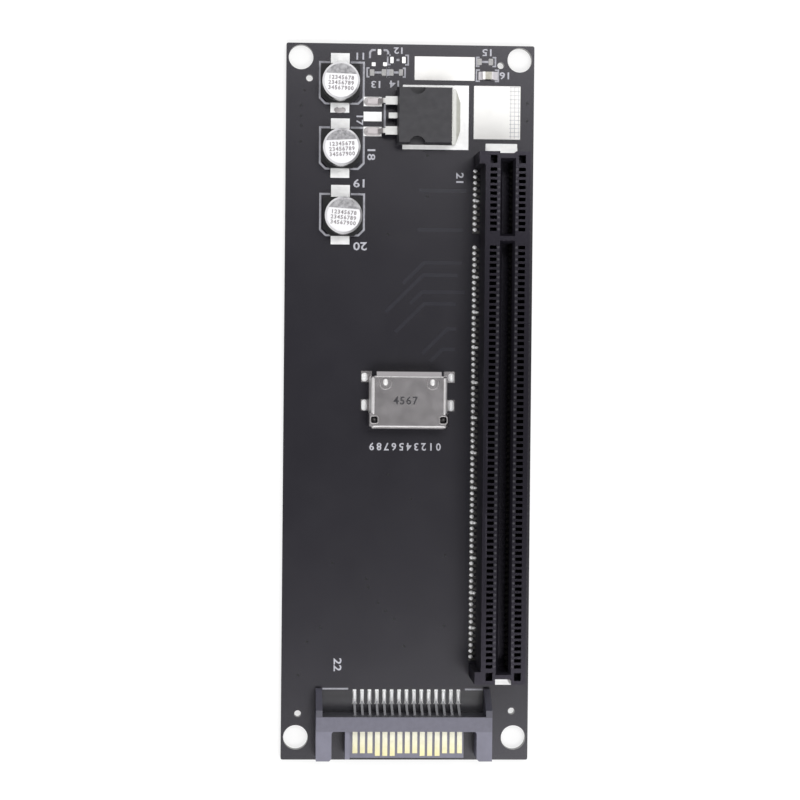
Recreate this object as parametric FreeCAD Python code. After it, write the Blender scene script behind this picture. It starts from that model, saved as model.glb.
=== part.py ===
import FreeCAD, Part
import math
import os

# Adapter board, millimetres. The board lies flat: its underside is at Z 0, the parts stand on top,
# the long side runs along Y and the power plug is at the -Y end. The origin is the board's centre.

V = FreeCAD.Vector

# Board
board_width = 42.3
board_length = 122.1
board_thickness = 1.6
board_corner_radius = 0.3
mount_spacing_x = 37.3
mount_spacing_y = 115.9
mount_centre_y = 0.7
mount_hole_diameter = 4.2
tooling_hole_diameter = 1.2
tooling_hole_sides = 10
tooling_holes = [(-17.2, 55.1), (15.4, 57.7), (-18.3, -53.2), (18.3, -52.7)]
land_thickness = 0.05
board_top = board_thickness
land_top = board_top + land_thickness

# Card slot
slot_x = 15.75
slot_length = 89.0
slot_width = 7.5
slot_height = 11.25
slot_standoff = 0.45
slot_pitch = 1.0
slot_short_count = 11
slot_long_count = 71
slot_key_step = 3.0
slot_first_y = 39.26
slot_end_wall = 3.0
card_gap = 1.8
card_lead_in = 0.38
card_lead_in_depth = 0.6
card_gap_depth = 7.8
card_gap_head = 1.5
card_gap_foot = 1.0
key_width = 1.5
cavity_offset = 2.38
cavity_width = 1.15
cavity_length = 0.6
rib_depth = 1.85
end_cavity_width = 1.15
end_cavity_length = 1.35
end_cavity_depth = 4.0
end_cavity_step = 1.7
lug_reach = 1.05
lug_length = 2.1
end_recess_width = 2.7
end_recess_head = 0.3
end_recess_foot = 0.9
slot_top = board_top + slot_height
slot_base = board_top + slot_standoff
slot_last_y = slot_first_y - slot_key_step - slot_pitch * (slot_short_count + slot_long_count - 2)
slot_head_y = slot_first_y + slot_end_wall
slot_foot_y = slot_head_y - slot_length
slot_key_y = slot_first_y - slot_pitch * (slot_short_count - 1) - slot_key_step / 2
slot_floor = slot_top - card_gap_depth
gap_head_y = slot_first_y + card_gap_head
gap_foot_y = slot_last_y - card_gap_foot

# Spring contacts of the card slot, measured outward from the middle of the card gap
spring_width = 0.5
spring_thickness = 0.22
spring_foot_x = 4.95
spring_root_x = 2.3
spring_bump_x = 0.72
spring_bump_height = 7.4
spring_tip_x = 2.15
spring_tip_height = 9.6

# Hold-downs at the two ends of the card slot
hold_thickness = 0.25
hold_foot_width = 5.2
hold_foot_length = 1.4
hold_tab_width = 2.4
hold_tab_height = 4.5

# Cable port
port_rear_y = 4.5
port_front_y = -4.3
port_width = 12.8
port_height = 4.3
port_sheet = 0.25
port_edge_radius = 0.5
port_bend_steps = 2
port_flare = 0.4
port_flare_rear_y = -1.7
port_flare_front_y = -3.95
port_flap_reach = 0.85
port_flap_drop = 0.4
port_flap_corner = 0.9
port_foot_x = 7.44
port_foot_width = 1.1
port_foot_length = 1.9
port_foot_y = [4.45, -0.4]
port_window = 1.1
port_window_x = 5.85
port_window_y = -2.8
port_bead_x = 4.0
port_bead_y = 3.6
port_bead_length = 1.5
port_bead_width = 0.7
port_bead_height = 0.16
port_bead_corner = 0.2
port_tongue_width = 10.9
port_tongue_thickness = 0.8
port_tongue_front_y = -3.2
port_block_front_y = 1.2
port_pin_count = 21
port_pin_pitch = 0.5
port_pin_width = 0.28
port_pin_thickness = 0.15
port_pin_front_y = -2.9
port_upper_tail_y = 5.05
port_lower_tail_y = 3.0
port_top = board_top + port_height
port_tongue_z = board_top + 0.5 * port_height

# Power plug
plug_left_x = -15.27
plug_right_x = 14.55
plug_rear_y = -52.97
plug_wall_y = -55.48
plug_arm_front_y = -60.5
plug_height = 5.6
plug_arm_width = 2.62
plug_tongue_left_x = -10.37
plug_tongue_right_x = 9.86
plug_tongue_front_y = -60.2
plug_tongue_top = 5.05
plug_tongue_thickness = 1.25
plug_key_width = 0.8
plug_key_top = 6.95
plug_ear_width = 1.06
plug_ear_rear_y = -48.8
plug_ear_flat_y = -51.9
plug_ear_low = 1.0
plug_arm_lead_in = 0.4
plug_corner_radius = 0.45
plug_pin_count = 15
plug_pin_pitch = 1.27
plug_pin_middle_x = 0.28
plug_pin_width = 0.84
plug_pin_thickness = 0.15
plug_short_end_y = -59.4
plug_long_end_y = -59.85
plug_group = 3
plug_lead_width = 0.4
plug_lead_thickness = 0.25
plug_lead_root = 0.55
plug_lead_heel_y = -51.45
plug_foot_end_y = -49.3
plug_top = board_top + plug_height

# Electrolytic capacitors
can_diameter = 6.3
can_height = 5.8
can_edge = 0.35
can_groove_depth = 0.3
can_groove_height = 0.9
can_base_size = 6.6
can_base_chamfer = 1.3
can_base_thickness = 1.0
can_lead_width = 0.75
can_lead_thickness = 0.3
can_lead_inner = 0.9
can_lead_outer = 4.1
can_land_width = 3.2
can_land_inner = 2.5
can_land_outer = 5.05
can_places = [(-12.0, 54.2), (-11.8, 43.1), (-11.4, 31.6)]
can_land_places = [(-12.0, 54.33), (-11.9, 43.26), (-11.77, 31.95)]

# Regulator
regulator_x = (-2.1, 6.7)
regulator_y = 48.7
regulator_top_width = 9.2
regulator_draft = 0.3
regulator_height = 4.45
regulator_part_height = 2.3
regulator_notch_diameter = 2.8
regulator_notch_sides = 12
regulator_notch_x = 1.0
tab_thickness = 1.27
tab_x = (-0.4, 8.45)
tab_width = 9.4
tab_corner_x = 0.75
tab_corner_y = 2.3
tab_land_x = (-1.3, 9.98)
tab_land_width = 10.95
lead_spacing = 2.54
lead_thickness = 0.5
lead_wide = 1.4
lead_narrow = 0.8
lead_height = 2.5
lead_inside = 0.7
lead_shoulder_x = -4.6
lead_heel_x = -5.4
lead_toe_x = -7.3
stub_x = -3.8
stub_width = 0.95
lead_land_x = (-7.95, -4.86)
lead_land_width = 1.6

# Chip capacitor
chip_place = (13.25, 55.9)
chip_length = 2.0
chip_width = 1.25
chip_height = 0.95
chip_cap_length = 0.45
chip_land_gap = 0.9
chip_land_length = 1.2
chip_land_width = 1.4


def box(x0, x1, y0, y1, z0, z1):
    """Box between two corners, in any order."""
    low = V(min(x0, x1), min(y0, y1), min(z0, z1))
    return Part.makeBox(abs(x1 - x0), abs(y1 - y0), abs(z1 - z0), low)


def round_pin(x, y, diameter, z0, z1):
    """Upright cylinder."""
    return Part.makeCylinder(diameter / 2, z1 - z0, V(x, y, z0))


def prism(points, direction):
    """Solid from a closed outline pushed along a direction."""
    return Part.Face(Part.makePolygon(points + points[:1])).extrude(direction)


def faceted_pin(x, y, diameter, sides, z0, z1):
    """Upright pin with flat sides."""
    angles = [2 * math.pi * i / sides for i in range(sides)]
    ring = [V(x + diameter / 2 * math.cos(a), y + diameter / 2 * math.sin(a), z0) for a in angles]
    return prism(ring, V(0, 0, z1 - z0))


def frustum(x0, x1, y0, y1, z0, z1, spread):
    """Box whose top is wider than its bottom by spread on every side."""
    low = [V(x0, y0, z0), V(x1, y0, z0), V(x1, y1, z0), V(x0, y1, z0)]
    high = [
        V(x0 - spread, y0 - spread, z1),
        V(x1 + spread, y0 - spread, z1),
        V(x1 + spread, y1 + spread, z1),
        V(x0 - spread, y1 + spread, z1),
    ]
    wires = [Part.makePolygon(ring + ring[:1]) for ring in (low, high)]
    return Part.makeLoft(wires, True, True)


def strip_outline(path, thickness, pointed=False):
    """Outline of a bent strip: the path offset to both sides, with mitred bends, in (u, z) pairs."""
    half = thickness / 2
    left = []
    right = []
    for i, (u, z) in enumerate(path):
        steps = []
        if i > 0:
            steps.append((u - path[i - 1][0], z - path[i - 1][1]))
        if i < len(path) - 1:
            steps.append((path[i + 1][0] - u, path[i + 1][1] - z))
        normals = [(-dz / math.hypot(du, dz), du / math.hypot(du, dz)) for du, dz in steps]
        nu = sum(n[0] for n in normals) / len(normals)
        nz = sum(n[1] for n in normals) / len(normals)
        scale = half / (nu * nu + nz * nz)
        left.append((u + nu * scale, z + nz * scale))
        right.append((u - nu * scale, z - nz * scale))
    if pointed:
        left[-1] = path[-1]
        right.pop()
    return left + right[::-1]


def fuse_all(shapes):
    """One solid from several that share faces."""
    return shapes[0].multiFuse(shapes[1:]).removeSplitter()


def group(shapes):
    """Several separate solids kept together."""
    return Part.makeCompound(shapes)


def slot_contact_rows():
    """Y of each contact position: the short segment, the key step, then the long segment."""
    short = [slot_first_y - slot_pitch * i for i in range(slot_short_count)]
    long_start = short[-1] - slot_key_step
    return short + [long_start - slot_pitch * i for i in range(slot_long_count)]


def pin_row(count, pitch, middle):
    """Evenly spaced positions about a middle value."""
    return [middle + pitch * (i - (count - 1) / 2) for i in range(count)]


def circuit_board():
    plate = box(-board_width / 2, board_width / 2, -board_length / 2, board_length / 2, 0, board_thickness)
    uprights = [e for e in plate.Edges if abs(e.Vertexes[0].Z - e.Vertexes[1].Z) > board_thickness / 2]
    plate = plate.makeFillet(board_corner_radius, uprights)
    holes = []
    for sx in (-1, 1):
        for sy in (-1, 1):
            x = sx * mount_spacing_x / 2
            y = mount_centre_y + sy * mount_spacing_y / 2
            holes.append(round_pin(x, y, mount_hole_diameter, 0, board_thickness))
    for x, y in tooling_holes:
        holes.append(faceted_pin(x, y, tooling_hole_diameter, tooling_hole_sides, 0, board_thickness))
    return plate.cut(holes)


def solder_lands():
    """Tinned copper areas that show beside the parts soldered to them."""
    lands = [box(*tab_land_x, regulator_y - tab_land_width / 2, regulator_y + tab_land_width / 2,
                 board_top, land_top)]
    for row in (-1, 0, 1):
        y = regulator_y + row * lead_spacing
        lands.append(box(*lead_land_x, y - lead_land_width / 2, y + lead_land_width / 2, board_top, land_top))
    for x, y in can_land_places:
        for side in (-1, 1):
            lands.append(box(x - can_land_width / 2, x + can_land_width / 2,
                             y + side * can_land_inner, y + side * can_land_outer, board_top, land_top))
    for side in (-1, 1):
        x = chip_place[0] + side * chip_land_gap / 2
        lands.append(box(x, x + side * chip_land_length, chip_place[1] - chip_land_width / 2,
                         chip_place[1] + chip_land_width / 2, board_top, land_top))
    return group(lands)


def slot_channel(side, y):
    """Channel of one contact: open at the top behind the rib, open to the card gap and underneath."""
    inner = cavity_offset - cavity_width / 2
    outer = cavity_offset + cavity_width / 2
    throat = card_gap / 2
    outline = [
        (outer, slot_floor),
        (outer, slot_top),
        (inner, slot_top),
        (inner, slot_top - rib_depth),
        (throat, slot_top - rib_depth),
        (throat, slot_floor),
    ]
    points = [V(slot_x + side * u, y - cavity_length / 2, z) for u, z in outline]
    return prism(points, V(0, cavity_length, 0))


def slot_lead_ins():
    """Bevels round the mouths of the two stretches of the card gap."""
    left = slot_x - card_gap / 2
    right = slot_x + card_gap / 2
    mouth = slot_top - card_lead_in_depth
    spans = [(slot_key_y + key_width / 2, gap_head_y), (gap_foot_y, slot_key_y - key_width / 2)]
    return [frustum(left, right, y0, y1, mouth, slot_top, card_lead_in) for y0, y1 in spans]


def slot_end_cavities():
    """Larger square openings at both ends of each contact row."""
    cuts = []
    for y in (slot_first_y + end_cavity_step, slot_last_y - end_cavity_step):
        for side in (-1, 1):
            x = slot_x + side * cavity_offset
            cuts.append(box(x - end_cavity_width / 2, x + end_cavity_width / 2, y - end_cavity_length / 2,
                            y + end_cavity_length / 2, slot_top - end_cavity_depth, slot_top))
    return cuts


def slot_end_recesses():
    """Upright recesses in the end faces that take the hold-downs."""
    half = end_recess_width / 2
    return [
        box(slot_x - half, slot_x + half, slot_head_y, slot_head_y - end_recess_head, board_top, slot_top),
        box(slot_x - half, slot_x + half, slot_foot_y, slot_foot_y + end_recess_foot, board_top, slot_top),
    ]


def slot_base_block():
    """Floor of the slot on its two standing ends, with a trough for the contacts of each row and stretch."""
    left = slot_x - slot_width / 2
    right = slot_x + slot_width / 2
    pieces = [box(left, right, slot_foot_y, slot_head_y, slot_base, slot_floor)]
    for end, inward in ((slot_head_y, -1), (slot_foot_y, 1)):
        pieces.append(box(left, right, end, end + inward * lug_length, board_top, slot_base))
    rows = slot_contact_rows()
    reach = cavity_length / 2
    troughs = []
    for side in (-1, 1):
        inner_x = slot_x + side * card_gap / 2
        outer_x = slot_x + side * (cavity_offset + cavity_width / 2)
        for row in (rows[:slot_short_count], rows[slot_short_count:]):
            troughs.append(box(inner_x, outer_x, row[0] + reach, row[-1] - reach, slot_base, slot_floor))
    return fuse_all(pieces).cut(troughs + slot_end_recesses())


def slot_wall(side):
    """Upright wall on one side of the card gap, with its row of contact channels."""
    wall = box(slot_x + side * card_gap / 2, slot_x + side * slot_width / 2, gap_foot_y, gap_head_y,
               slot_floor, slot_top)
    channels = [slot_channel(side, y) for y in slot_contact_rows()]
    return wall.cut(channels + slot_lead_ins() + slot_end_cavities())


def card_slot_housing():
    """The slot's moulding, in solids that meet face to face round the card gap."""
    left = slot_x - slot_width / 2
    right = slot_x + slot_width / 2
    blocks = [
        box(left, right, gap_head_y, slot_head_y, slot_floor, slot_top),
        box(left, right, slot_foot_y, gap_foot_y, slot_floor, slot_top),
        box(slot_x - card_gap / 2, slot_x + card_gap / 2, slot_key_y - key_width / 2,
            slot_key_y + key_width / 2, slot_floor, slot_top),
    ]
    cuts = slot_lead_ins() + slot_end_cavities() + slot_end_recesses()
    pieces = [slot_base_block(), slot_wall(-1), slot_wall(1)] + [block.cut(cuts) for block in blocks]
    for end, inward in ((slot_head_y, -1), (slot_foot_y, 1)):
        pieces.append(box(left - lug_reach, left, end, end + inward * lug_length, board_top, slot_top))
    return group(pieces)


def card_slot_contacts(side):
    """One row of springs: foot on the board, beam leaning into the card gap, tip behind the rib."""
    foot_z = board_top + spring_thickness / 2
    path = [
        (spring_foot_x, foot_z),
        (spring_root_x, foot_z),
        (spring_bump_x, board_top + spring_bump_height),
        (spring_tip_x, board_top + spring_tip_height),
    ]
    outline = strip_outline(path, spring_thickness, pointed=True)
    springs = []
    for y in slot_contact_rows():
        points = [V(slot_x + side * u, y - spring_width / 2, z) for u, z in outline]
        springs.append(prism(points, V(0, spring_width, 0)))
    return group(springs)


def card_slot_hold_downs():
    """Angle pieces at the slot's ends: a foot on the board and a tab up the recess in the end wall."""
    tabs = []
    for wall, outward in ((slot_head_y - end_recess_head, 1), (slot_foot_y + end_recess_foot, -1)):
        foot_start = wall + outward * hold_thickness
        clear = slot_head_y if outward > 0 else slot_foot_y
        tab = box(slot_x - hold_tab_width / 2, slot_x + hold_tab_width / 2, wall, foot_start,
                  board_top, board_top + hold_tab_height)
        neck = box(slot_x - hold_tab_width / 2, slot_x + hold_tab_width / 2, foot_start, clear,
                   board_top, board_top + hold_thickness)
        foot = box(slot_x - hold_foot_width / 2, slot_x + hold_foot_width / 2, clear,
                   clear + outward * hold_foot_length, board_top, board_top + hold_thickness)
        tabs.append(fuse_all([tab, neck, foot]))
    return group(tabs)


def port_section(half, high, radius, y0, y1):
    """Upright block along Y whose two upper edges are rounded off in steps."""
    corner = []
    for step in range(port_bend_steps + 1):
        angle = math.pi / 2 * step / port_bend_steps
        corner.append((half - radius + radius * math.sin(angle), high - radius + radius * math.cos(angle)))
    right = corner + [(half, board_top)]
    outline = right + [(-u, z) for u, z in right[::-1]]
    return prism([V(u, y0, z) for u, z in outline], V(0, y1 - y0, 0))


def port_envelope(inset):
    """Outside of the port's shell, or its inside when inset by the sheet's thickness."""
    half = port_width / 2 - inset
    high = port_top - inset
    radius = port_edge_radius - inset
    main = port_section(half, high, radius, port_front_y, port_rear_y)
    flare = port_section(half + port_flare, high, radius, port_flare_front_y + inset,
                         port_flare_rear_y - inset)
    return main.fuse(flare)


def port_bead(x):
    """Pressed bead on the shell's top, its corners cut off."""
    w = port_bead_width / 2
    h = port_bead_length / 2
    c = port_bead_corner
    right = [(w - c, -h), (w, c - h), (w, h - c), (w - c, h)]
    outline = right + [(-u, v) for u, v in right[::-1]]
    points = [V(x + u, port_bead_y + v, port_top - port_sheet / 2) for u, v in outline]
    return prism(points, V(0, 0, port_sheet / 2 + port_bead_height))


def cable_port_shell():
    """Folded sheet: top and sides with a wider front part, a slanted rear flap and four feet."""
    shell = port_envelope(0).cut(port_envelope(port_sheet))
    flap_half = port_width / 2 - port_flap_corner
    flap_upright = port_sheet * math.hypot(port_flap_reach, port_flap_drop) / port_flap_reach
    flap_outline = [
        (port_rear_y, port_top),
        (port_rear_y + port_flap_reach, port_top - port_flap_drop),
        (port_rear_y + port_flap_reach, port_top - port_flap_drop - flap_upright),
        (port_rear_y, port_top - flap_upright),
    ]
    flap = prism([V(-flap_half, y, z) for y, z in flap_outline], V(2 * flap_half, 0, 0))
    pieces = [shell, flap]
    for side in (-1, 1):
        for y in port_foot_y:
            root_x = side * (port_width / 2 - port_sheet)
            toe_x = side * (port_foot_x + port_foot_width / 2)
            pieces.append(box(root_x, toe_x, y - port_foot_length / 2, y + port_foot_length / 2,
                              board_top, board_top + port_sheet))
        pieces.append(port_bead(side * port_bead_x))
    shell = fuse_all(pieces)
    windows = []
    for side in (-1, 1):
        x = side * port_window_x
        windows.append(box(x - port_window / 2, x + port_window / 2, port_window_y - port_window / 2,
                           port_window_y + port_window / 2, port_top - 2 * port_sheet, port_top + port_sheet))
    return shell.cut(windows)


def port_upper_z():
    return port_tongue_z + port_tongue_thickness / 2


def port_lower_z():
    return port_tongue_z - port_tongue_thickness / 2


def cable_port_insulator():
    """Rear block that carries the tongue, with two slits for the contact rows."""
    row_half = port_pin_pitch * port_pin_count / 2
    block = port_section(port_width / 2 - port_sheet, port_top - port_sheet, port_edge_radius - port_sheet,
                         port_block_front_y, port_rear_y)
    tongue = box(-port_tongue_width / 2, port_tongue_width / 2, port_tongue_front_y, port_block_front_y,
                 port_lower_z(), port_upper_z())
    body = fuse_all([block, tongue])
    upper = box(-row_half, row_half, port_block_front_y, port_rear_y, port_upper_z(),
                port_upper_z() + port_pin_thickness)
    lower = box(-row_half, row_half, port_block_front_y, port_lower_tail_y,
                port_lower_z() - port_pin_thickness, port_lower_z())
    drop = box(-row_half, row_half, port_lower_tail_y - port_pin_thickness, port_lower_tail_y,
               board_top, port_lower_z())
    return body.cut([upper, lower, drop])


def cable_port_contacts(surface_z, tail_y):
    """One row of the port's contacts: along the tongue, through the block and down to the board."""
    t = port_pin_thickness
    outline = [
        (port_pin_front_y, surface_z),
        (port_pin_front_y, surface_z + t),
        (tail_y, surface_z + t),
        (tail_y, board_top),
        (tail_y - t, board_top),
        (tail_y - t, surface_z),
    ]
    row = []
    for x in pin_row(port_pin_count, port_pin_pitch, 0):
        points = [V(x - port_pin_width / 2, y, z) for y, z in outline]
        row.append(prism(points, V(port_pin_width, 0, 0)))
    return group(row)


def plug_frame():
    """Rear wall and both guide arms from one plan, rounded where the arms meet the wall."""
    left_in = plug_left_x + plug_arm_width
    right_in = plug_right_x - plug_arm_width
    outline = [
        (plug_left_x, plug_rear_y),
        (plug_left_x, plug_arm_front_y),
        (left_in - plug_arm_lead_in, plug_arm_front_y),
        (left_in, plug_arm_front_y + plug_arm_lead_in),
        (left_in, plug_wall_y),
        (right_in, plug_wall_y),
        (right_in, plug_arm_front_y + plug_arm_lead_in),
        (right_in + plug_arm_lead_in, plug_arm_front_y),
        (plug_right_x, plug_arm_front_y),
        (plug_right_x, plug_rear_y),
    ]
    frame = prism([V(x, y, board_top) for x, y in outline], V(0, 0, plug_height))
    middle_z = board_top + plug_height / 2
    corners = []
    for x in (left_in, right_in):
        root = V(x, plug_wall_y, middle_z)
        corners += [e for e in frame.Edges if e.CenterOfMass.isEqual(root, plug_corner_radius)]
    return frame.makeFillet(plug_corner_radius, corners)


def plug_ear(outer_x, inward):
    """Ear behind one end of the rear wall, its top sloping down towards the board."""
    outline = [
        (plug_rear_y, board_top),
        (plug_rear_y, plug_top),
        (plug_ear_flat_y, plug_top),
        (plug_ear_rear_y, board_top + plug_ear_low),
        (plug_ear_rear_y, board_top),
    ]
    return prism([V(outer_x, y, z) for y, z in outline], V(inward * plug_ear_width, 0, 0))


def power_plug_housing():
    """Frame, rear ears and the keyed tongue, moulded in one piece."""
    tongue = box(plug_tongue_left_x, plug_tongue_right_x, plug_wall_y, plug_tongue_front_y,
                 plug_tongue_top - plug_tongue_thickness, plug_tongue_top)
    key = box(plug_tongue_left_x, plug_tongue_left_x + plug_key_width, plug_wall_y, plug_tongue_front_y,
              plug_tongue_top, plug_key_top)
    body = fuse_all([plug_frame(), plug_ear(plug_left_x, 1), plug_ear(plug_right_x, -1), tongue, key])
    slit_half = plug_pin_pitch * plug_pin_count / 2
    slit = box(plug_pin_middle_x - slit_half, plug_pin_middle_x + slit_half, plug_wall_y, plug_rear_y,
               plug_tongue_top, plug_tongue_top + plug_pin_thickness)
    return body.cut(slit)


def plug_lead_outline():
    """Side view of one lead, slanting from the rear wall down to its foot, in (y, z) pairs."""
    top = plug_tongue_top + plug_pin_thickness
    foot_top = board_top + plug_lead_thickness
    run = plug_lead_heel_y - plug_rear_y
    under_y = plug_rear_y + run * (top - plug_lead_root - board_top) / (top - foot_top)
    return [
        (plug_rear_y, top),
        (plug_lead_heel_y, foot_top),
        (plug_foot_end_y, foot_top),
        (plug_foot_end_y, board_top),
        (under_y, board_top),
        (plug_rear_y, top - plug_lead_root),
    ]


def power_plug_contacts():
    """Flat pins on the tongue in groups of three, each with a narrower lead bent down to the board."""
    contacts = []
    top = plug_tongue_top + plug_pin_thickness
    for i, x in enumerate(pin_row(plug_pin_count, plug_pin_pitch, plug_pin_middle_x)):
        is_long = (i // plug_group) % 2 == 1
        end_y = plug_long_end_y if is_long else plug_short_end_y
        blade = box(x - plug_pin_width / 2, x + plug_pin_width / 2, end_y, plug_rear_y, plug_tongue_top, top)
        points = [V(x - plug_lead_width / 2, y, z) for y, z in plug_lead_outline()]
        contacts.append(fuse_all([blade, prism(points, V(plug_lead_width, 0, 0))]))
    return group(contacts)


def can_seat_z():
    return land_top + can_lead_thickness


def capacitor_base(x, y):
    """Square moulded base with two corners cut off on the plus side."""
    h = can_base_size / 2
    c = can_base_chamfer
    outline = [(-h, h), (-h, c - h), (c - h, -h), (h - c, -h), (h, c - h), (h, h)]
    points = [V(x + u, y + v, can_seat_z()) for u, v in outline]
    return prism(points, V(0, 0, can_base_thickness))


def capacitor_can(x, y):
    """Drawn can: crimp groove just above the base and a bevelled rim."""
    r = can_diameter / 2
    bottom = can_seat_z() + can_base_thickness
    top = board_top + can_height
    outline = [
        (0, bottom),
        (r, bottom),
        (r - can_groove_depth, bottom + can_groove_height / 2),
        (r, bottom + can_groove_height),
        (r, top - can_edge),
        (r - can_edge, top),
        (0, top),
    ]
    points = [V(x + u, y, z) for u, z in outline]
    face = Part.Face(Part.makePolygon(points + points[:1]))
    return face.revolve(V(x, y, 0), V(0, 0, 1), 360)


def capacitor_leads(x, y):
    """Two flat leads under the base, reaching out over their lands."""
    half = can_lead_width / 2
    return group([
        box(x - half, x + half, y + side * can_lead_inner, y + side * can_lead_outer, land_top, can_seat_z())
        for side in (-1, 1)
    ])


def regulator_tab():
    """Heat-sink plate under the body, its free corners cut off."""
    half = tab_width / 2
    x0, x1 = tab_x
    outline = [
        (x0, -half),
        (x1 - tab_corner_x, -half),
        (x1, tab_corner_y - half),
        (x1, half - tab_corner_y),
        (x1 - tab_corner_x, half),
        (x0, half),
    ]
    points = [V(u, regulator_y + v, land_top) for u, v in outline]
    return prism(points, V(0, 0, tab_thickness))


def regulator_lead(y):
    """Gull-wing lead: wide by the body, narrow from the bend to the foot."""
    shoulder_z = land_top + lead_height
    foot_z = land_top + lead_thickness / 2
    inside_x = regulator_x[0] + lead_inside
    path = [
        (lead_shoulder_x + lead_thickness, shoulder_z),
        (lead_shoulder_x, shoulder_z),
        (lead_heel_x, foot_z),
        (lead_toe_x, foot_z),
    ]
    outline = strip_outline(path, lead_thickness)
    points = [V(u, y - lead_narrow / 2, z) for u, z in outline]
    narrow = prism(points, V(0, lead_narrow, 0))
    wide = box(lead_shoulder_x + lead_thickness / 2, inside_x, y - lead_wide / 2, y + lead_wide / 2,
               shoulder_z - lead_thickness / 2, shoulder_z + lead_thickness / 2)
    return fuse_all([narrow, wide])


def regulator_leads():
    """Two formed leads and, between them, one cropped short."""
    shoulder_z = land_top + lead_height
    inside_x = regulator_x[0] + lead_inside
    stub = box(stub_x, inside_x, regulator_y - stub_width / 2, regulator_y + stub_width / 2,
               shoulder_z - lead_thickness / 2, shoulder_z + lead_thickness / 2)
    formed = [regulator_lead(regulator_y + side * lead_spacing) for side in (-1, 1)]
    return group(formed + [stub])


def regulator_body():
    """Moulded body, drafted above and below its parting line, seated over the tab and the leads."""
    half = regulator_top_width / 2
    y0 = regulator_y - half
    y1 = regulator_y + half
    x0, x1 = regulator_x
    low = land_top
    part_z = land_top + regulator_part_height
    top = land_top + regulator_height
    d = regulator_draft
    levels = [(low, 0), (part_z, d), (top, 0)]
    shapes = []
    for (za, da), (zb, db) in zip(levels, levels[1:]):
        rings = []
        for z, spread in ((za, da), (zb, db)):
            ring = [V(x0 - spread, y0 - spread, z), V(x1 + spread, y0 - spread, z),
                    V(x1 + spread, y1 + spread, z), V(x0 - spread, y1 + spread, z)]
            rings.append(Part.makePolygon(ring + ring[:1]))
        shapes.append(Part.makeLoft(rings, True, True))
    body = fuse_all(shapes)
    notches = [faceted_pin(regulator_notch_x, y, regulator_notch_diameter, regulator_notch_sides,
                           part_z, top) for y in (y0 - d, y1 + d)]
    return body.cut(notches + [regulator_tab(), regulator_leads()])


def chip_capacitor_body():
    x, y = chip_place
    half = chip_length / 2 - chip_cap_length
    return box(x - half, x + half, y - chip_width / 2, y + chip_width / 2, land_top, land_top + chip_height)


def chip_capacitor_ends():
    x, y = chip_place
    ends = []
    for side in (-1, 1):
        inner = x + side * (chip_length / 2 - chip_cap_length)
        ends.append(box(inner, x + side * chip_length / 2, y - chip_width / 2, y + chip_width / 2,
                        land_top, land_top + chip_height))
    return group(ends)


nodes = {
    "circuit_board": circuit_board(),
    "solder_lands": solder_lands(),
    "card_slot_housing": card_slot_housing(),
    "card_slot_contacts_left": card_slot_contacts(-1),
    "card_slot_contacts_right": card_slot_contacts(1),
    "card_slot_hold_downs": card_slot_hold_downs(),
    "cable_port_shell": cable_port_shell(),
    "cable_port_insulator": cable_port_insulator(),
    "cable_port_contacts_upper": cable_port_contacts(port_upper_z(), port_upper_tail_y),
    "cable_port_contacts_lower": cable_port_contacts(port_lower_z() - port_pin_thickness, port_lower_tail_y),
    "power_plug_housing": power_plug_housing(),
    "power_plug_contacts": power_plug_contacts(),
    "regulator_body": regulator_body(),
    "regulator_tab": regulator_tab(),
    "regulator_leads": regulator_leads(),
    "chip_capacitor_body": chip_capacitor_body(),
    "chip_capacitor_ends": chip_capacitor_ends(),
}
for number, (can_x, can_y) in enumerate(can_places, 1):
    nodes["capacitor_can_%d" % number] = capacitor_can(can_x, can_y)
    nodes["capacitor_base_%d" % number] = capacitor_base(can_x, can_y)
    nodes["capacitor_leads_%d" % number] = capacitor_leads(can_x, can_y)

os.makedirs("parts", exist_ok=True)
for name, shape in nodes.items():
    shape.exportStep("parts/%s.step" % name)
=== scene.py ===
import math
import random
import bmesh
import bpy
from mathutils import Matrix, Vector

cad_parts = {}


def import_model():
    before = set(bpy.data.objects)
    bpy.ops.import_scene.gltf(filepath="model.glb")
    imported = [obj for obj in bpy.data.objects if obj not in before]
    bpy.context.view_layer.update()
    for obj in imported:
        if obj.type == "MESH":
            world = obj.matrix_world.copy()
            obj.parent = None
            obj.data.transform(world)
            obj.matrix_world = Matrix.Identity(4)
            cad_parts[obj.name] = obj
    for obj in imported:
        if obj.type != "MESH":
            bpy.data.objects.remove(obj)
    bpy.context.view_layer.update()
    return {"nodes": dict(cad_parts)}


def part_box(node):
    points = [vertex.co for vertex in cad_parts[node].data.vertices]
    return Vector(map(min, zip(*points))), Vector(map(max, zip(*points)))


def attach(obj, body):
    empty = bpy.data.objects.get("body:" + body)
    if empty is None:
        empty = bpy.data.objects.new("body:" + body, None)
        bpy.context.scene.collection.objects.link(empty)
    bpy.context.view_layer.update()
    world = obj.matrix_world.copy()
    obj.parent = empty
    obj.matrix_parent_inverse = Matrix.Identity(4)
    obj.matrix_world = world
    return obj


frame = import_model()

# Lengths are millimetres here, and become metres where a mesh or a lamp is made
MM = 0.001


def node_box(node):
    """Lowest and highest corner of a CAD node, in millimetres."""
    return [[value / MM for value in corner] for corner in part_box(node)]


def middle(node):
    """Middle of a CAD node in plan."""
    low, high = node_box(node)
    return (low[0] + high[0]) / 2, (low[1] + high[1]) / 2


# Contacts of the slot on each side of its key, contacts of the plug, and height of the port's beads
CONTACT_WIDTH = 0.5
SLOT_PITCH = 1.0
SLOT_KEY_STEP = 3.0
SLOT_SHORT_COUNT = 11
SLOT_LONG_COUNT = 71
PLUG_PITCH = 1.27
PLUG_COUNT = 15
PORT_BEAD = 0.16
CAN_NUMBERS = (1, 2, 3)

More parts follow.
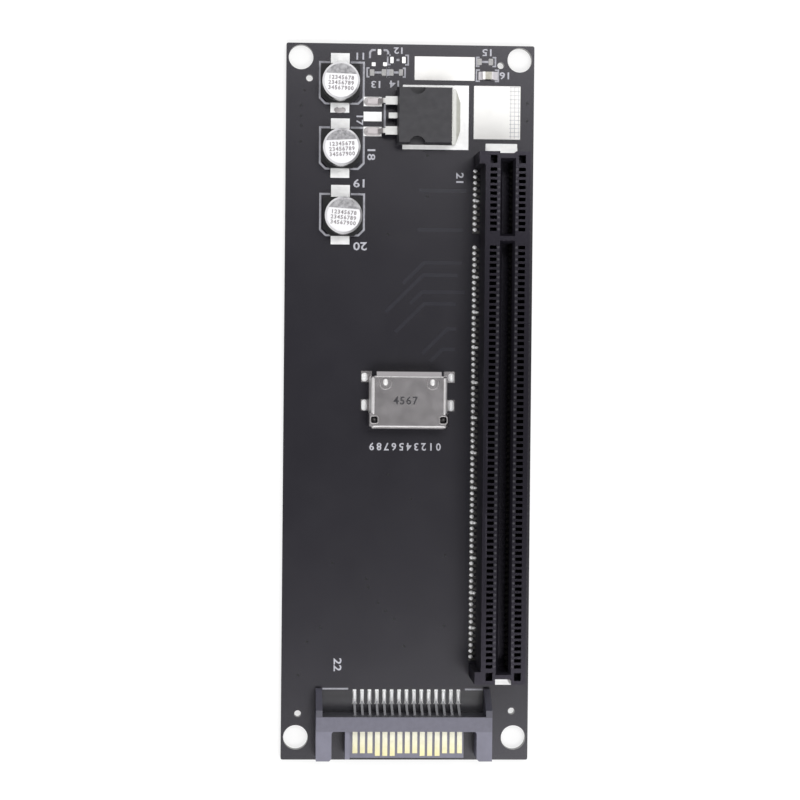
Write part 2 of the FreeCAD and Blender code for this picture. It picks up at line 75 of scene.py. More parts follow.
# Levels and places that the frame gives
BOARD_TOP = node_box("circuit_board")[1][2]
LAND_TOP = node_box("solder_lands")[1][2]
CAN_TOP = node_box("capacitor_can_1")[1][2]
CAN_MIDDLES = [middle("capacitor_can_%d" % i) for i in CAN_NUMBERS]
SLOT_LEFT = node_box("card_slot_contacts_left")
SLOT_RIGHT = node_box("card_slot_contacts_right")
SLOT_X = (SLOT_LEFT[0][0] + SLOT_RIGHT[1][0]) / 2
SLOT_TOP = node_box("card_slot_housing")[1][2]
SLOT_FIRST_Y = SLOT_LEFT[1][1] - CONTACT_WIDTH / 2
SLOT_SHORT = [SLOT_FIRST_Y - SLOT_PITCH * i for i in range(SLOT_SHORT_COUNT)]
SLOT_LONG = [SLOT_SHORT[-1] - SLOT_KEY_STEP - SLOT_PITCH * i for i in range(SLOT_LONG_COUNT)]
PORT_TOP = node_box("cable_port_shell")[1][2] - PORT_BEAD
PLUG_X = middle("power_plug_contacts")[0]
PLUG_PINS = [PLUG_X + PLUG_PITCH * (i - (PLUG_COUNT - 1) / 2) for i in range(PLUG_COUNT)]

# Thickness of print, its extra stroke as a share of a number's height, and copper under the mask
PRINT = 0.03
STROKE = 0.025
COPPER = 0.004

chance = random.Random(7)


# Mesh helpers

# Inset of a plate's middle ring as a share of its edge, and size of a digit as a share of the font's size
PLATE_RING = 0.3
DIGIT_SHARE = 0.7
# Share of a dome and of a ridge left at the tip, and a ridge's corner as a share of its half width
DOME_TIP = 0.15
RIDGE_TIP = 0.1
RIDGE_CORNER = 0.95


def add_piece(name, bm, material, smooth=False):
    """Turns a mesh built in millimetres into a piece that rides on the board."""
    bmesh.ops.scale(bm, vec=(MM, MM, MM), verts=bm.verts)
    bmesh.ops.recalc_face_normals(bm, faces=bm.faces)
    mesh = bpy.data.meshes.new(name)
    bm.to_mesh(mesh)
    bm.free()
    mesh.materials.append(material)
    mesh.polygons.foreach_set("use_smooth", [smooth] * len(mesh.polygons))
    piece = bpy.data.objects.new(name, mesh)
    bpy.context.scene.collection.objects.link(piece)
    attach(piece, "root")


def circle(x, y, rx, ry, around, power=2.0):
    """Points round an ellipse, or a squarer oval with a higher power."""
    points = []
    for i in range(around):
        c = math.cos(2 * math.pi * i / around)
        s = math.sin(2 * math.pi * i / around)
        points.append((x + rx * math.copysign(abs(c) ** (2 / power), c),
                       y + ry * math.copysign(abs(s) ** (2 / power), s)))
    return points


def rounded_rect(x0, x1, y0, y1, radius, steps=4):
    """Outline of a rectangle with rounded corners, anticlockwise."""
    corners = [(x1 - radius, y1 - radius), (x0 + radius, y1 - radius),
               (x0 + radius, y0 + radius), (x1 - radius, y0 + radius)]
    outline = []
    for quarter, (x, y) in enumerate(corners):
        for i in range(steps + 1):
            a = math.pi / 2 * (quarter + i / steps)
            outline.append((x + radius * math.cos(a), y + radius * math.sin(a)))
    return outline


def stack(bm, levels):
    """Closed solid through outlines of equal length, given as (outline, z) from the bottom up."""
    rows = [[bm.verts.new((x, y, z)) for x, y in outline] for outline, z in levels]
    count = len(rows[0])
    for low, high in zip(rows, rows[1:]):
        for i in range(count):
            j = (i + 1) % count
            bm.faces.new((low[i], low[j], high[j], high[i]))
    bm.faces.new(rows[0][::-1])
    bm.faces.new(rows[-1])


def plate(bm, x0, x1, y0, y1, z0, z1, radius=0.12, edge=0.02):
    """Thin plate with rounded corners and a rounded upper edge."""
    ring = edge * PLATE_RING
    levels = []
    for z, inset in ((z0, 0), (z1 - edge, 0), (z1 - ring, ring), (z1, edge)):
        outline = rounded_rect(x0 + inset, x1 - inset, y0 + inset, y1 - inset, radius - inset)
        levels.append((outline, z))
    stack(bm, levels)


def ribbon(bm, path, width, z0, z1, closed=False):
    """Printed or etched line along a path, with mitred corners and its own thickness."""
    count = len(path)
    points = [Vector(p) for p in path]
    left = []
    right = []
    for i, point in enumerate(points):
        steps = []
        if closed or i > 0:
            steps.append((point - points[i - 1]).normalized())
        if closed or i < count - 1:
            steps.append((points[(i + 1) % count] - point).normalized())
        normal = sum((Vector((-step.y, step.x)) for step in steps), Vector((0, 0))) / len(steps)
        offset = normal * (width / 2 / normal.length_squared)
        left.append(point + offset)
        right.append(point - offset)
    rows = []
    for side, z in ((left, z0), (left, z1), (right, z1), (right, z0)):
        rows.append([bm.verts.new((p.x, p.y, z)) for p in side])
    for a, b in zip(rows, rows[1:] + rows[:1]):
        for i in range(count if closed else count - 1):
            j = (i + 1) % count
            bm.faces.new((a[i], a[j], b[j], b[i]))
    if not closed:
        bm.faces.new([row[0] for row in rows])
        bm.faces.new([row[-1] for row in rows[::-1]])


def dome(bm, x, y, rx, ry, z0, height, power=2.2, around=16, rows=4):
    """Rounded drop on a surface, such as solder."""
    levels = []
    for k in range(rows + 1):
        lift = math.sin(math.pi / 2 * k / rows)
        shrink = max(math.sqrt(1 - lift * lift), DOME_TIP)
        levels.append((circle(x, y, rx * shrink, ry * shrink, around, power), z0 + height * lift))
    stack(bm, levels)


def ridge(bm, x0, x1, y0, y1, z0, z1, rows=6):
    """Long low bead with a round top and round ends."""
    half = min(x1 - x0, y1 - y0) / 2
    levels = []
    for k in range(rows + 1):
        angle = math.pi / 2 * k / rows
        inset = half * (1 - max(math.cos(angle), RIDGE_TIP))
        corner = (half - inset) * RIDGE_CORNER
        outline = rounded_rect(x0 + inset, x1 - inset, y0 + inset, y1 - inset, corner)
        levels.append((outline, z0 + (z1 - z0) * math.sin(angle)))
    stack(bm, levels)


def disc(bm, x, y, radius, z0, z1, around=16):
    """Low round plate."""
    outline = circle(x, y, radius, radius, around)
    stack(bm, [(outline, z0), (outline, z1)])


def number(bm, text, x, y, height, z0, turn=180, spread=1.0, stroke=STROKE, wide=1.0):
    """Plain number of printed thickness, centred on a point."""
    curve = bpy.data.curves.new("number", "FONT")
    curve.body = text
    curve.size = height / DIGIT_SHARE
    curve.align_x = "CENTER"
    curve.space_character = spread
    curve.offset = height * stroke
    curve.resolution_u = 2
    curve.extrude = PRINT / 2
    holder = bpy.data.objects.new("number", curve)
    bpy.context.scene.collection.objects.link(holder)
    bpy.context.view_layer.update()
    mesh = bpy.data.meshes.new_from_object(holder.evaluated_get(bpy.context.evaluated_depsgraph_get()))
    place = Matrix.Translation((x, y, z0 + PRINT / 2)) @ Matrix.Rotation(math.radians(turn), 4, "Z")
    mesh.transform(place @ Matrix.Diagonal((wide, 1, 1, 1)) @ Matrix.Translation((0, -height / 2, 0)))
    bm.from_mesh(mesh)
    bpy.data.objects.remove(holder)
    bpy.data.curves.remove(curve)
    bpy.data.meshes.remove(mesh)


# Material helpers

# Range of most of a noise, gloss patches as a share of colour patches, and strength of the grain
NOISE_SPAN = (0.3, 0.7)
GLOSS_SHARE = 0.4
BUMP_STRENGTH = 0.5
# Size and strength of the patches in a band's colour
BAND_PATCH = 0.8
BAND_VARY = 0.07


def base_material(name):
    """Empty node material with its shader and object coordinates."""
    material = bpy.data.materials.new(name)
    material.use_nodes = True
    tree = material.node_tree
    coords = tree.nodes.new("ShaderNodeTexCoord")
    return material, tree, tree.nodes["Principled BSDF"], coords.outputs["Object"]


def noise(tree, coords, size, detail=2.0, stretch=(1, 1, 1)):
    """Noise whose features are about size millimetres across."""
    mapping = tree.nodes.new("ShaderNodeMapping")
    mapping.inputs["Scale"].default_value = stretch
    tree.links.new(coords, mapping.inputs["Vector"])
    texture = tree.nodes.new("ShaderNodeTexNoise")
    texture.inputs["Scale"].default_value = 1 / (size * MM)
    texture.inputs["Detail"].default_value = detail
    tree.links.new(mapping.outputs["Vector"], texture.inputs["Vector"])
    return texture.outputs["Fac"]


def ramp(tree, value, low, high):
    """Colour that runs from low to high over the middle of a noise."""
    node = tree.nodes.new("ShaderNodeValToRGB")
    for element, position, colour in zip(node.color_ramp.elements, NOISE_SPAN, (low, high)):
        element.position = position
        element.color = (*colour, 1)
    tree.links.new(value, node.inputs["Fac"])
    return node.outputs["Color"]


def scaled(tree, value, source, target):
    """Value mapped from a source range to a target range, kept inside it."""
    node = tree.nodes.new("ShaderNodeMapRange")
    node.inputs["From Min"].default_value = source[0]
    node.inputs["From Max"].default_value = source[1]
    node.inputs["To Min"].default_value = target[0]
    node.inputs["To Max"].default_value = target[1]
    tree.links.new(value, node.inputs["Value"])
    return node.outputs["Result"]


def work(tree, operation, first, second=0.0):
    """Value worked out from two others, each a socket or a number."""
    node = tree.nodes.new("ShaderNodeMath")
    node.operation = operation
    for socket, value in zip(node.inputs, (first, second)):
        if isinstance(value, (int, float)):
            socket.default_value = value
        else:
            tree.links.new(value, socket)
    return node.outputs["Value"]


def distance(tree, value, place):
    """How far a value lies from a place, to either side."""
    return work(tree, "ABSOLUTE", work(tree, "SUBTRACT", value, place))


def parts_of(tree, vector):
    """The three parts of a vector."""
    split = tree.nodes.new("ShaderNodeSeparateXYZ")
    tree.links.new(vector, split.inputs["Vector"])
    return split.outputs


def level_share(tree, start, end):
    """0 on upright faces and 1 on level ones, with a change between two sizes of the normal's height."""
    normal = tree.nodes.new("ShaderNodeNewGeometry").outputs["Normal"]
    return scaled(tree, work(tree, "ABSOLUTE", parts_of(tree, normal)["Z"]), (start, end), (0, 1))


def blend(tree, factor, low, high):
    """Colour mixed from two others."""
    mix = tree.nodes.new("ShaderNodeMix")
    mix.data_type = "RGBA"
    tree.links.new(factor, mix.inputs["Factor"])
    tree.links.new(low, mix.inputs["A"])
    tree.links.new(high, mix.inputs["B"])
    return mix.outputs["Result"]


def tint(tree, coords, colour, patch, vary, stretch=(1, 1, 1)):
    """Patchy colour about a mean."""
    low = [c * (1 - vary) for c in colour]
    high = [min(1.0, c * (1 + vary)) for c in colour]
    return ramp(tree, noise(tree, coords, patch, detail=3.0, stretch=stretch), low, high)


def finish(name, colour, rough, metal=0.0, patch=3.0, vary=0.1, grain=0.1, bump=0.003, stretch=(1, 1, 1),
           specular=0.5, uneven=0.12):
    """Surface with patchy colour, uneven gloss and a fine grain."""
    material, tree, shader, coords = base_material(name)
    tree.links.new(tint(tree, coords, colour, patch, vary, stretch), shader.inputs["Base Color"])
    gloss = noise(tree, coords, patch * GLOSS_SHARE, stretch=stretch)
    spread = (rough * (1 - uneven), rough * (1 + uneven))
    tree.links.new(scaled(tree, gloss, NOISE_SPAN, spread), shader.inputs["Roughness"])
    shader.inputs["Metallic"].default_value = metal
    shader.inputs["Specular IOR Level"].default_value = specular
    rise = tree.nodes.new("ShaderNodeBump")
    rise.inputs["Strength"].default_value = BUMP_STRENGTH
    rise.inputs["Distance"].default_value = bump * MM
    tree.links.new(noise(tree, coords, grain, stretch=stretch), rise.inputs["Height"])
    tree.links.new(rise.outputs["Normal"], shader.inputs["Normal"])
    return material


def banded(material, axis, bands):
    """Changes a finish's colour along an axis: each band is (start and end of the change, colour)."""
    tree = material.node_tree
    shader = tree.nodes["Principled BSDF"]
    coords = tree.nodes.new("ShaderNodeTexCoord").outputs["Object"]
    colour = shader.inputs["Base Color"].links[0].from_socket
    for start, end, band_colour in bands:
        change = scaled(tree, parts_of(tree, coords)[axis], (start * MM, end * MM), (0, 1))
        colour = blend(tree, change, colour, tint(tree, coords, band_colour, BAND_PATCH, BAND_VARY))
    tree.links.new(colour, shader.inputs["Base Color"])
    return material


def by_slope(material, span, values):
    """Gives upright and level faces their own values, named by shader socket as (upright, level)."""
    tree = material.node_tree
    share = level_share(tree, *span)
    for socket, pair in values.items():
        tree.links.new(scaled(tree, share, (0, 1), pair), tree.nodes["Principled BSDF"].inputs[socket])
    return material


# Board material

# Solder mask: its colour, roughness and the colour of its sheen
MASK = (0.0099, 0.0091, 0.0138)
MASK_ROUGH = 0.26
MASK_SHEEN = (0.97, 0.95, 1.0, 1)
# Laminate at the cut edges: its two colours, and size and squeeze of its layers
LAMINATE = ((0.030, 0.028, 0.020), (0.075, 0.068, 0.045))
LAYER_SIZE = 0.9
LAYER_STRETCH = (1, 1, 9)


def board_material():
    """Black solder mask on both faces, bare laminate with its layers on the cut edges."""
    material = finish("board_mask", MASK, MASK_ROUGH, patch=14.0, vary=0.07, grain=0.4, bump=0.001,
                      uneven=0.03)
    tree = material.node_tree
    shader = tree.nodes["Principled BSDF"]
    shader.inputs["Specular Tint"].default_value = MASK_SHEEN
    mask = shader.inputs["Base Color"].links[0].from_socket
    coords = tree.nodes.new("ShaderNodeTexCoord").outputs["Object"]
    laminate = ramp(tree, noise(tree, coords, LAYER_SIZE, detail=1.0, stretch=LAYER_STRETCH), *LAMINATE)
    colour = blend(tree, level_share(tree, start=0.45, end=0.55), laminate, mask)
    tree.links.new(colour, shader.inputs["Base Color"])
    return material


# Slot material

# Painted glints on the crowns of the slot's ribs, as paler plastic: colour, distance from the slot's
# middle, half width, depth below the top, reach past the outer contacts, and half the length over which
# they end
RIB_GLINT = (0.058, 0.057, 0.062)
RIB_MIDDLE = 1.5
RIB_HALF = 0.34
RIB_DEPTH = 0.06
RIB_PAST = 0.5
RIB_END = 0.05
SLOT_SHEEN = (0.88, 0.82, 1.0, 1)


def slot_painted_glints(tree, place):
    """1 where a glint is painted on the crown of the rib beside each contact, falling to 0 around it,
    with none at the key.
    """
    across = distance(tree, place["X"], SLOT_X * MM)
    glint_share = scaled(tree, distance(tree, across, RIB_MIDDLE * MM), (0, RIB_HALF * MM), (1, 0))
    along = work(tree, "SUBTRACT", place["Y"], SLOT_FIRST_Y * MM)
    wave = work(tree, "COSINE", work(tree, "MULTIPLY", along, 2 * math.pi / (SLOT_PITCH * MM)))
    glint_share = work(tree, "MULTIPLY", glint_share, scaled(tree, wave, (0, 1), (0, 1)))
    height = scaled(tree, place["Z"], ((SLOT_TOP - RIB_DEPTH) * MM, SLOT_TOP * MM), (0, 1))
    glint_share = work(tree, "MULTIPLY", glint_share, height)
    key = (SLOT_SHORT[-1] - SLOT_PITCH, SLOT_LONG[0] + SLOT_PITCH)
    for rows, inside in ((SLOT_SHORT + SLOT_LONG, 1), (key, 0)):
        middle_y = (rows[0] + rows[-1]) / 2
        reach = (rows[0] - rows[-1]) / 2 + RIB_PAST
        away = distance(tree, place["Y"], middle_y * MM)
        kept = scaled(tree, away, ((reach - RIB_END) * MM, (reach + RIB_END) * MM), (inside, 1 - inside))
        glint_share = work(tree, "MULTIPLY", glint_share, kept)
    return glint_share


def slot_material():
    """Black moulding with a painted glint on the crown of the rib beside each contact."""
    material = finish("slot_moulding", (0.0026, 0.0022, 0.0042), 0.2, patch=2.5, vary=0.15, grain=0.12,
                      bump=0.0015)
    tree = material.node_tree
    shader = tree.nodes["Principled BSDF"]
    shader.inputs["Specular Tint"].default_value = SLOT_SHEEN
    black = shader.inputs["Base Color"].links[0].from_socket
    coords = tree.nodes.new("ShaderNodeTexCoord").outputs["Object"]
    glint_share = slot_painted_glints(tree, parts_of(tree, coords))
    # Paler plastic on the rib crowns, a painted glint
    pale = tint(tree, coords, RIB_GLINT, patch=0.5, vary=0.3)
    tree.links.new(blend(tree, glint_share, black, pale), shader.inputs["Base Color"])
    return by_slope(material, (0.5, 0.9), {"Roughness": (0.65, 0.2), "Specular IOR Level": (0.25, 0.76)})


# Materials by look

# Bands of a finish along one axis: start and end of the change, and the colour after it
# Painted reflection on the mask between the plug's ears, strongest a little behind the bar
PLUG_PLACE_PAINTED_LIGHT_BANDS = [(-52.7, -51.8, (0.060, 0.058, 0.067)), (-51.7, -50.2, (0.022, 0.021, 0.026))]
# Every land right of x 11.3 darker, as painted shade beside the slot's left wall
LAND_SHADE_BANDS = [(11.0, 11.3, (0.50, 0.485, 0.51))]
LEAD_BANDS = [(-5.6, -5.2, (0.38, 0.36, 0.36)), (-4.8, -4.4, (0.60, 0.60, 0.59))]
# Plug pins: blades paler towards the bar as a painted highlight, and grey from inside the bar back
PIN_HIGHLIGHT_AND_TAIL_BANDS = [(-59.6, -56.6, (0.70, 0.68, 0.55)), (-54.5, -53.0, (0.36, 0.36, 0.38))]
# Plug: the bar darker than the arms, its back face and the ears darker still, all painted shade
PLUG_PAINTED_SHADE_BANDS = [(-55.6, -55.4, (0.125, 0.122, 0.162)), (-53.06, -53.03, (0.036, 0.035, 0.046)),
              (-52.97, -52.94, (0.068, 0.066, 0.089))]
# Regulator tab darker past x 7.9, painted shade on its side away from the body
TAB_SHADE_BANDS = [(7.65, 7.9, (0.32, 0.32, 0.29))]
# Chip capacitor's right end darker than its left: painted shade
CHIP_END_SHADE_BANDS = [(13.3, 14.2, (0.46, 0.44, 0.47))]

MATERIALS = {
    # Board, print and copper
    "board": board_material(),
    "ink": finish("print_ink", (0.50, 0.50, 0.55), 0.6, patch=0.9, vary=0.08, grain=0.12),
    "ink_line": finish("print_line", (0.37, 0.37, 0.41), 0.6, patch=0.5, vary=0.2, grain=0.12),
    "field": finish("print_field", (0.955, 0.945, 0.925), 0.55, patch=2.5, vary=0.03, grain=0.25),
    "field_line": finish("field_line", (0.60, 0.60, 0.62), 0.6, patch=0.6, vary=0.15),
    "copper": finish("mask_over_copper", (0.0160, 0.0154, 0.0235), MASK_ROUGH, patch=4.0, vary=0.06,
                     grain=0.3, bump=0.001, uneven=0.03),
    "via": finish("via_mask", (0.007, 0.007, 0.009), 0.32, patch=0.6, vary=0.2, specular=0.34),
    # Mask between the plug's ears with a painted reflection
    "plug_place_painted_light": banded(finish("painted_light_between_ears", MASK, MASK_ROUGH, patch=4.0, grain=0.4, bump=0.001,
                                uneven=0.03), "Y", PLUG_PLACE_PAINTED_LIGHT_BANDS),
    # Solder, leads and contacts
    "land": finish("tinned_land", (0.955, 0.955, 0.95), 0.42, metal=0.16, patch=0.9, vary=0.04, grain=0.3,
                   bump=0.004),
    # Lands with painted shade right of x 11.3
    "board_lands": banded(finish("board_lands", (0.94, 0.94, 0.94), 0.42, metal=0.16, patch=0.9,
                                 vary=0.05, grain=0.3, bump=0.004), "X", LAND_SHADE_BANDS),
    "solder": finish("solder", (0.90, 0.90, 0.91), 0.34, metal=0.2, patch=0.5, vary=0.07, grain=0.25,
                     bump=0.003),
    "contact": finish("plated_spring", (0.07, 0.068, 0.066), 0.4, metal=0.9, patch=0.6, vary=0.15),
    # Dull tin of bare pads; at the ends of the plug's pads it is painted shade
    "dull": finish("dull_tin_and_painted_shade", (0.34, 0.335, 0.335), 0.4, metal=0.2, patch=0.4, vary=0.15, grain=0.15),
    # Grey solder: below the first can its grey is a painted reflection of the can
    "grey_solder": finish("grey_solder_film", (0.44, 0.415, 0.42), 0.38, metal=0.4, patch=0.7, vary=0.12,
                   grain=0.2),
    "leads": banded(finish("lead_plate", (0.50, 0.465, 0.475), 0.4, metal=0.3, patch=0.8, vary=0.05),
                    "X", LEAD_BANDS),
    # Plug pins with a painted highlight on the blades
    "plug_pins": banded(finish("pin_plate", (0.68, 0.63, 0.35), 0.36, metal=0.3, patch=0.8, vary=0.04,
                               bump=0.0005), "Y", PIN_HIGHLIGHT_AND_TAIL_BANDS),
    "gold": finish("gold_plate", (0.98, 0.84, 0.52), 0.26, metal=0.9, patch=1.0, vary=0.05,
                   stretch=(4, 1, 1)),
    # Card slot, cable port and power plug
    "slot": slot_material(),
    "port_inner": finish("port_moulding", (0.012, 0.012, 0.012), 0.5, patch=1.5, vary=0.2),
    # Plug moulding: its purple grey is lighter than the black plastic, a painted sheen, with bands of
    # painted shade along y
    "plug": banded(finish("plug_moulding_painted_sheen_and_shade", (0.168, 0.165, 0.217), 0.42, patch=2.2, vary=0.1, grain=0.16,
                          bump=0.004), "Y", PLUG_PAINTED_SHADE_BANDS),
    "shell": finish("port_sheet", (0.488, 0.466, 0.478), 0.24, metal=1.0, patch=5.0, vary=0.04, grain=0.2,
                    bump=0.0004, uneven=0.06),
    # Brighter copy of the shell's metal for its folds, a painted highlight
    "fold_highlight": finish("painted_fold_highlight", (0.60, 0.585, 0.59), 0.35, metal=0.2, patch=0.6, vary=0.08),
    # Paler copy of the shell's metal on the beads, a painted highlight
    "bead": finish("pressed_bead_painted_highlight", (0.78, 0.77, 0.77), 0.35, metal=0.2, patch=0.6, vary=0.08),
    # Paler copy of the shell's metal on the creases and window rims, a painted highlight
    "crease": finish("pressed_crease_painted_highlight", (0.34, 0.325, 0.33), 0.4, metal=0.6, patch=0.6, vary=0.08),
    "latch": finish("latch_tip", (0.09, 0.085, 0.085), 0.4, metal=0.4, patch=0.4, vary=0.2),
    # Capacitors, regulator and the stamp on the port
    "can": by_slope(finish("can_metal", (0.765, 0.76, 0.78), 0.42, patch=1.5, vary=0.04, grain=0.14,
                           bump=0.0012, stretch=(1, 1, 0.3)),
                    (0.55, 0.9), {"Roughness": (0.16, 0.42), "Metallic": (1.0, 0.4)}),
    "can_mark": finish("can_mark", (0.32, 0.315, 0.33), 0.5, patch=0.45, vary=0.4),
    "can_ink": finish("can_ink", (0.24, 0.22, 0.23), 0.5, patch=0.3, vary=0.2),
    "stamp": finish("stamp", (0.03, 0.028, 0.034), 0.6, patch=0.4, vary=0.25),
    "base": finish("can_base", (0.008, 0.008, 0.009), 0.5, patch=1.2, vary=0.2, specular=0.3),
    "mould": finish("regulator_mould", (0.022, 0.021, 0.026), 0.5, patch=2.6, vary=0.15, grain=0.09,
                    bump=0.004),
    # Regulator tab with painted shade on its far side
    "tab": banded(finish("tab_plate", (0.50, 0.50, 0.48), 0.36, metal=0.6, patch=1.2, vary=0.08,
                         stretch=(3, 0.5, 1)), "X", TAB_SHADE_BANDS),
    "ceramic": finish("chip_ceramic", (0.47, 0.455, 0.40), 0.5, patch=0.5, vary=0.15, grain=0.06,
                      bump=0.004),
    # Chip capacitor ends, the right one with painted shade
    "chip_end": banded(finish("chip_end", (0.84, 0.82, 0.82), 0.4, metal=0.2, patch=0.4, vary=0.1),
                       "X", CHIP_END_SHADE_BANDS),
}

NODE_LOOKS = {
    "circuit_board": "board",
    "solder_lands": "board_lands",
    "card_slot_housing": "slot",
    "card_slot_contacts_left": "contact",
    "card_slot_contacts_right": "contact",
    "card_slot_hold_downs": "land",
    "cable_port_shell": "shell",
    "cable_port_insulator": "port_inner",
    "cable_port_contacts_upper": "gold",
    "cable_port_contacts_lower": "gold",
    "power_plug_housing": "plug",
    "power_plug_contacts": "plug_pins",
    "regulator_body": "mould",
    "regulator_tab": "tab",
    "regulator_leads": "leads",
    "chip_capacitor_body": "ceramic",
    "chip_capacitor_ends": "chip_end",
}
for i in CAN_NUMBERS:
    NODE_LOOKS["capacitor_can_%d" % i] = "can"
    NODE_LOOKS["capacitor_base_%d" % i] = "base"
    NODE_LOOKS["capacitor_leads_%d" % i] = "land"
for node, look in NODE_LOOKS.items():
    mesh = frame["nodes"][node].data
    mesh.materials.clear()
    mesh.materials.append(MATERIALS[look])

# Moulded and folded edges are slightly round, where faces meet at more than EDGE_ANGLE degrees
EDGE_ANGLE = 25
EDGE_STEPS = 3
EDGE_ROUNDS = {
    "power_plug_housing": 0.12,
    "power_plug_contacts": 0.09,
    "regulator_body": 0.09,
    "regulator_tab": 0.08,
    "regulator_leads": 0.22,
    "chip_capacitor_body": 0.05,
    "chip_capacitor_ends": 0.1,
    "cable_port_shell": 0.06,
    "card_slot_hold_downs": 0.05,
}
for node, width in EDGE_ROUNDS.items():
    bevel = frame["nodes"][node].modifiers.new("edge_round", "BEVEL")
    bevel.width = width * MM
    bevel.segments = EDGE_STEPS
    bevel.limit_method = "ANGLE"
    bevel.angle_limit = math.radians(EDGE_ANGLE)


# Printed lines on the board

LINE = 0.34
FINE_LINE = 0.28
BRACKET_LINE = 0.26
LINK_LINE = 0.36
# Middles of the cans' lands, and the frame round each: half sizes, shift, cut corner and half gap
CAN_LAND_MIDDLES = [(-12.0, 54.33), (-11.9, 43.26), (-11.77, 31.95)]
CAN_FRAME_HALF = (3.73, 3.5)
CAN_FRAME_SHIFT = 0.3
CAN_FRAME_CUT = 0.95
CAN_FRAME_GAP = 1.75
# Single lines: (width, points)
SINGLE_LINES = [(LINE, [(-4.34, 46.9), (-4.34, 50.9)]),
                (FINE_LINE, [(-14.1, -48.9), (-9.7, -48.9)]),
                (FINE_LINE, [(10.3, -49.0), (13.4, -49.0)]),
                (LINE, [(-6.95, 58.6), (-6.95, 59.6), (-6.6, 60.0), (-6.0, 60.0)]),
                (LINE, [(-4.65, 60.0), (-4.1, 60.0), (-3.85, 59.7), (-3.85, 58.9)])]
# Brackets at the places of small parts: (x, y, half width, half height, reach towards the middle)
BRACKETS = [(-2.18, 58.37, 1.75, 0.8, 0.5), (-5.56, 56.2, 1.85, 0.75, 0.4),
            (-2.45, 56.24, 1.5, 0.75, 0.4), (12.865, 58.27, 1.615, 0.75, 0.5),
            (13.125, 55.93, 1.875, 0.95, 0.6)]
# Short lines between the pads of small parts: (x, y, half length)
LINKS = [(-2.18, 58.37, 0.25), (-5.56, 56.2, 0.6), (-2.45, 56.24, 0.4), (12.73, 58.27, 0.55)]


def line(bm, path, width=LINE):
    """Printed line on the board."""
    ribbon(bm, path, width, BOARD_TOP, BOARD_TOP + PRINT)


def brackets(bm, x, y, half_x, half_y, reach):
    """Square brackets at the two ends of a small part's place."""
    for side in (-1, 1):
        end = x + side * half_x
        back = end - side * reach
        path = [(back, y + half_y), (end, y + half_y), (end, y - half_y), (back, y - half_y)]
        line(bm, path, BRACKET_LINE)


def print_lines():
    """Outlines of the parts' places."""
    bm = bmesh.new()
    half_x, half_y = CAN_FRAME_HALF
    for x, y in CAN_LAND_MIDDLES:
        for side in (-1, 1):
            start = x + side * CAN_FRAME_GAP
            end = x + CAN_FRAME_SHIFT + side * half_x
            line(bm, [(start, y + half_y), (end, y + half_y), (end, y - half_y + CAN_FRAME_CUT),
                      (end - side * CAN_FRAME_CUT, y - half_y), (start, y - half_y)])
    for width, path in SINGLE_LINES:
        line(bm, path, width)
    for place in BRACKETS:
        brackets(bm, *place)
    for x, y, half in LINKS:
        line(bm, [(x - half, y), (x + half, y)], LINK_LINE)
    add_piece("board_print_lines", bm, MATERIALS["ink_line"])


# Printed numbers

# Running numbers in place of the parts' marks: (x, y, height, turn)
NUMBER_PLACES = [(-8.6, 58.9, 1.15, 180), (-2.0, 59.95, 1.05, 180), (-5.8, 54.15, 1.15, 180),
                 (-2.6, 54.25, 1.15, 180), (13.15, 59.85, 1.15, 180), (16.2, 55.95, 1.15, 180),
                 (-8.58, 48.2, 1.1, 270), (-6.55, 42.4, 1.3, 270), (-8.45, 37.3, 1.35, 180),
                 (-8.35, 26.6, 1.35, 180), (8.6, 38.3, 1.2, 270), (-11.55, -44.8, 1.3, 270)]
FIRST_NUMBER = 11
NUMBER_WIDE = 1.25
# Row of digits beside the port
DIGIT_ROW = "0123456789"
DIGIT_ROW_PLACE = (-0.36, -7.5)
DIGIT_ROW_HEIGHT = 1.25
DIGIT_ROW_SPREAD = 1.42


def print_numbers():
    """Running numbers beside the parts, and the row of digits beside the port."""
    bm = bmesh.new()
    for count, (x, y, height, turn) in enumerate(NUMBER_PLACES, FIRST_NUMBER):
        number(bm, "%d" % count, x, y, height, BOARD_TOP, turn, wide=NUMBER_WIDE)
    number(bm, DIGIT_ROW, *DIGIT_ROW_PLACE, DIGIT_ROW_HEIGHT, BOARD_TOP, spread=DIGIT_ROW_SPREAD)
    add_piece("board_numbers", bm, MATERIALS["ink"])


# White fields

# Lowest and highest x, lowest and highest y of each field
FIELDS = [(0.68, 10.93, 55.03, 59.05), (10.865, 18.82, 45.11, 54.18)]
FIELD_CORNER = 0.08
FIELD_EDGE = 0.01
# Grid along the second field's right side: left end, width of a line, top in thicknesses of print, then
# for the lines along y and along x their step, count and first place in steps
GRID_LEFT = 16.95
GRID_LINE = 0.1
GRID_TOP = 1.4
GRID_STEPS = (0.67, 0.7)
GRID_COUNTS = (3, 13)
GRID_FIRST = (0.3, 0.7)


def print_fields():
    """Two white fields, the larger with a fine grid along its right side."""
    fields = bmesh.new()
    for sides in FIELDS:
        plate(fields, *sides, BOARD_TOP, BOARD_TOP + PRINT, FIELD_CORNER, FIELD_EDGE)
    add_piece("board_white_fields", fields, MATERIALS["field"])
    grid = bmesh.new()
    low = BOARD_TOP + PRINT / 2
    high = BOARD_TOP + PRINT * GRID_TOP
    right, bottom, top = FIELDS[1][1:]
    for k in range(GRID_COUNTS[0]):
        x = right - GRID_LINE - GRID_STEPS[0] * (k + GRID_FIRST[0])
        ribbon(grid, [(x, bottom + GRID_LINE), (x, top - GRID_LINE)], GRID_LINE, low, high)
    for k in range(GRID_COUNTS[1]):
        y = bottom + GRID_STEPS[1] * (k + GRID_FIRST[1])
        ribbon(grid, [(GRID_LEFT, y), (right - GRID_LINE, y)], GRID_LINE, low, high)
    add_piece("board_field_grid", grid, MATERIALS["field_line"])


# Pads

